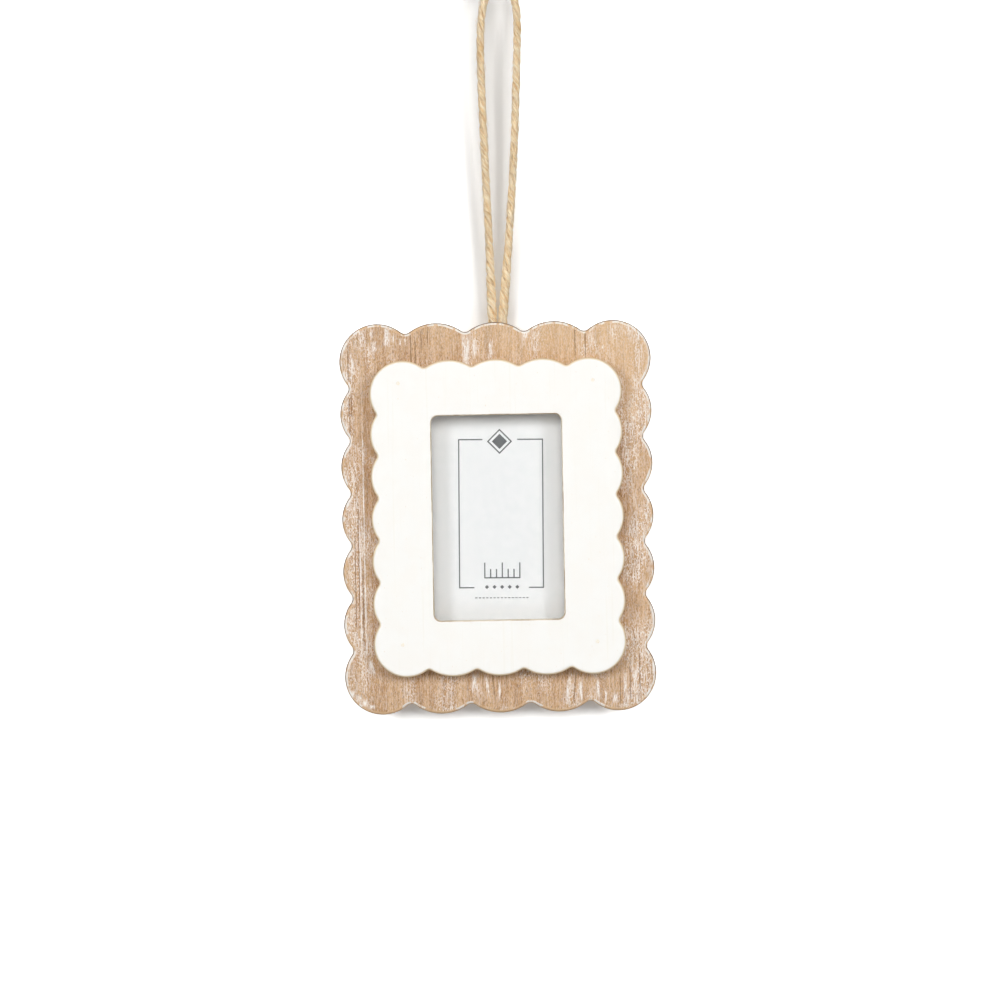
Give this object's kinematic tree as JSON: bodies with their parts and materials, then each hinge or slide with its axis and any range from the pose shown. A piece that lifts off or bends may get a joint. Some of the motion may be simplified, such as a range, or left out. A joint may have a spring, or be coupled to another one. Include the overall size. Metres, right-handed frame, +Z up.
{
  "type": "picture frame ornament",
  "caption": "Small hanging photo frame of two stacked scalloped wooden boards, with a glazed window, a backing panel held by turn buttons, and a jute twine loop.",
  "frame": {"origin": "hook point, on the inside of the twine loop at its top", "axes": "+Z up along the upright boards, front facing -Y, +X to the right seen from the front"},
  "size_m": [0.1064, 0.0144, 0.251],
  "materials": {
    "washed_wood": "whitewashed, vertical grain, sanded edges",
    "painted_wood": "matt off-white paint with sanded edges",
    "clear_glass": "clear polished",
    "card": "matt printed card",
    "hardboard": "brown hardboard",
    "plated_steel": "zinc-plated stamped steel",
    "painted_steel": "set below the surface and painted over",
    "jute": "twisted two-ply jute"
  },
  "bodies": {
    "frame": {"back_board": "washed_wood", "front_board": "painted_wood", "window_glass": "clear_glass", "picture_card": "card", "backing_panel": "hardboard", "button_screws": "plated_steel", "corner_brads": "painted_steel", "hanging_twine": "jute", "twine_staple": "plated_steel"},
    "left_button": {"turn_button_left": "plated_steel"},
    "right_button": {"turn_button_right": "plated_steel"}
  },
  "joints": [
    {"name": "left_button_turn", "type": "hinge", "parent": "frame", "child": "left_button", "pos_m": [-0.036, 0, -0.18165], "axis": [0, 1, 0], "continuous": true},
    {"name": "right_button_turn", "type": "hinge", "parent": "frame", "child": "right_button", "pos_m": [0.0282, 0, -0.18165], "axis": [0, 1, 0], "continuous": true}
  ]
}
